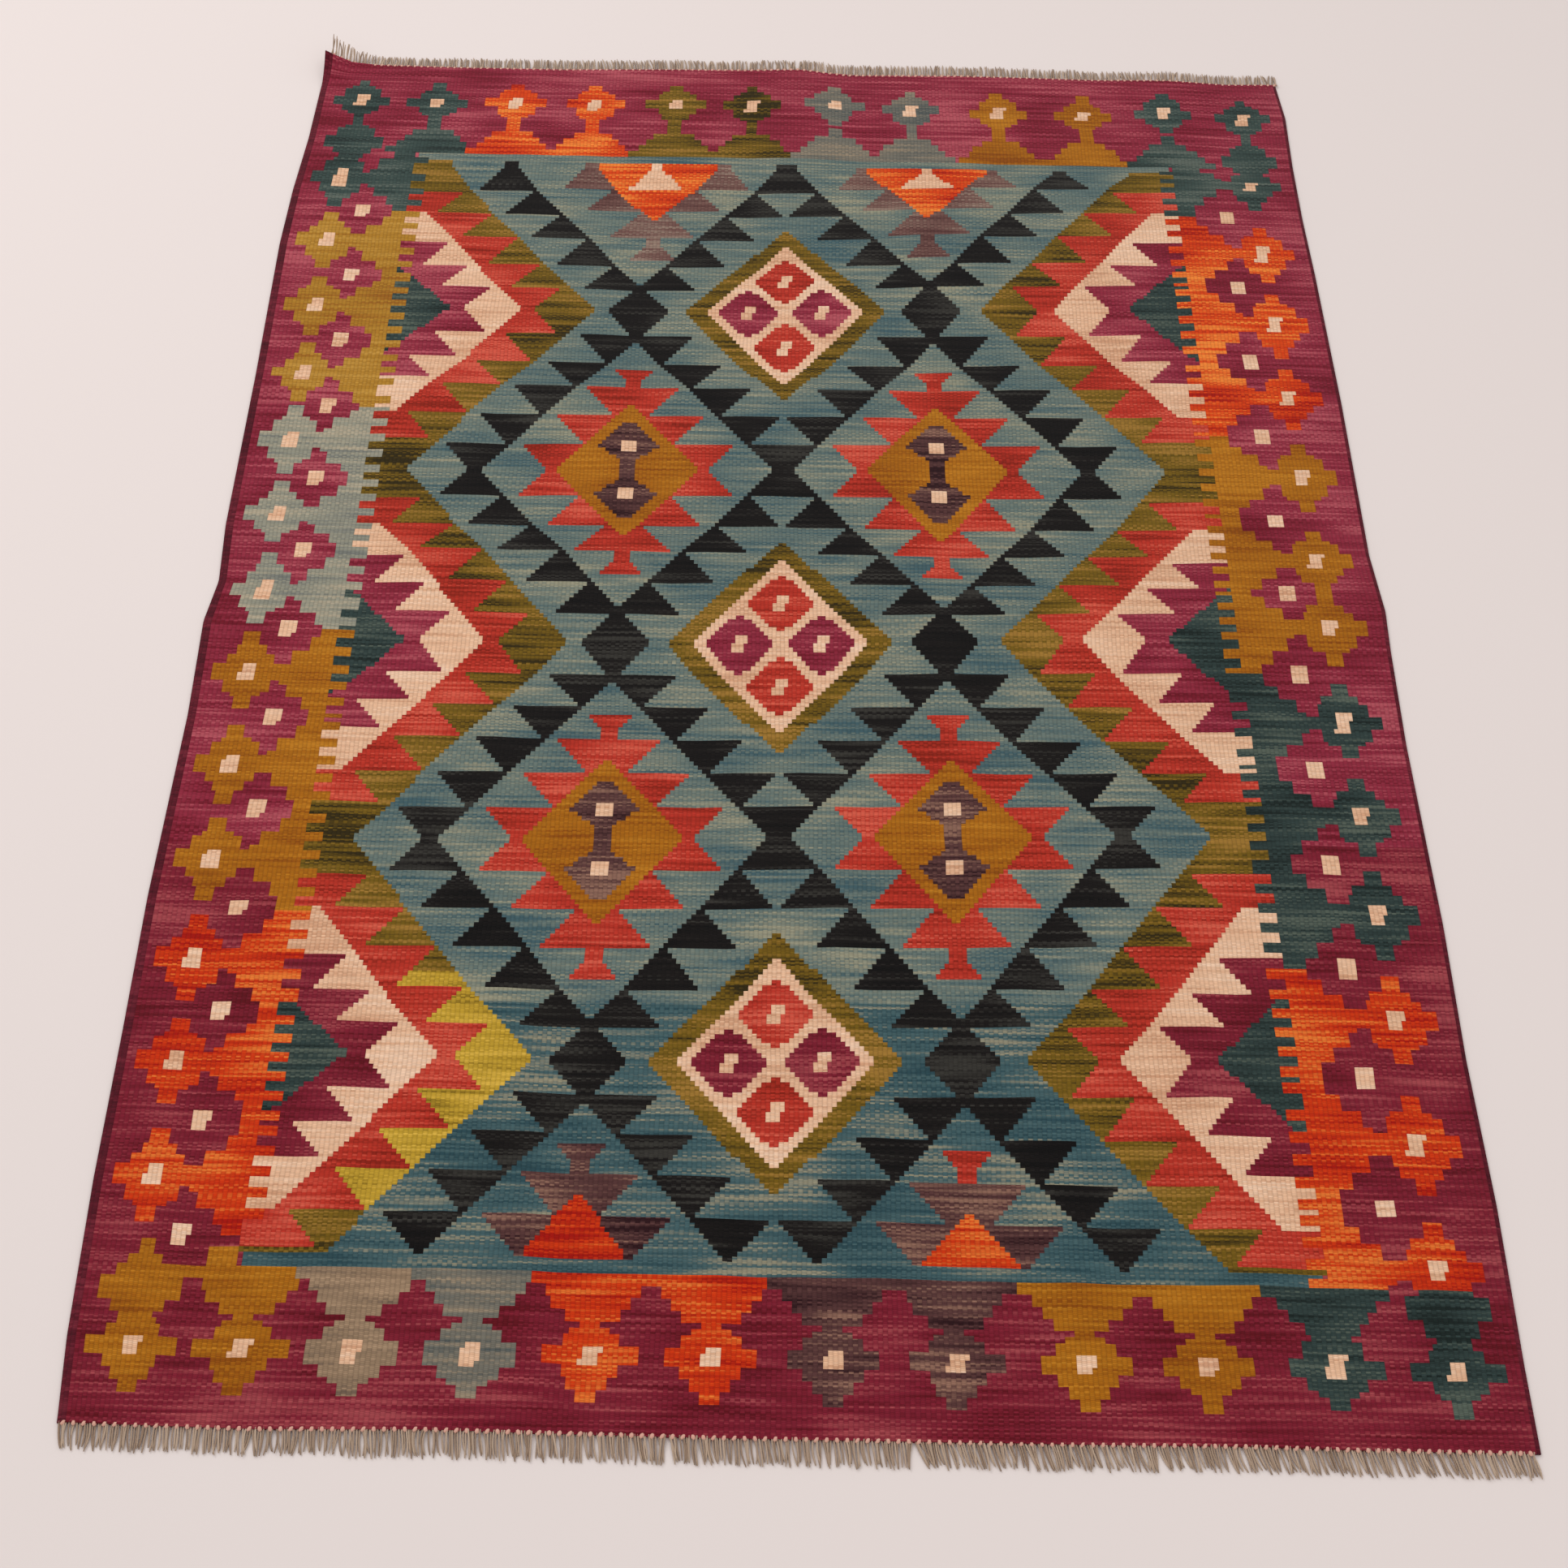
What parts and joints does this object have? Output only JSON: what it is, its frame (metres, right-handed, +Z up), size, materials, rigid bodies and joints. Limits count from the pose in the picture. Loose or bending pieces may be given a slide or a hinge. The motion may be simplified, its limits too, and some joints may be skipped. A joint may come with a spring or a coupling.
{
  "type": "kilim rug",
  "caption": "Flat-woven kilim rug, lying flat with one curled corner, with short warp fringe at both ends.",
  "frame": {"origin": "on the floor under the middle of the rug's bounding box, fringes included", "axes": "+X across the rug, +Y along it from the near end to the far end with the curled corner at -X, +Z up"},
  "size_m": [1.0204, 1.5162, 0.0276],
  "materials": {
    "kilim_wool": "matt weft-faced wool in stepped patterns of maroon, grey-green, black, red, olive, gold and ivory",
    "warp_cotton": "matt undyed twisted yarn, beige-grey"
  },
  "bodies": {
    "root": {"kilim_cloth": "kilim_wool", "fringe_near": "warp_cotton", "fringe_far": "warp_cotton"}
  },
  "joints": []
}
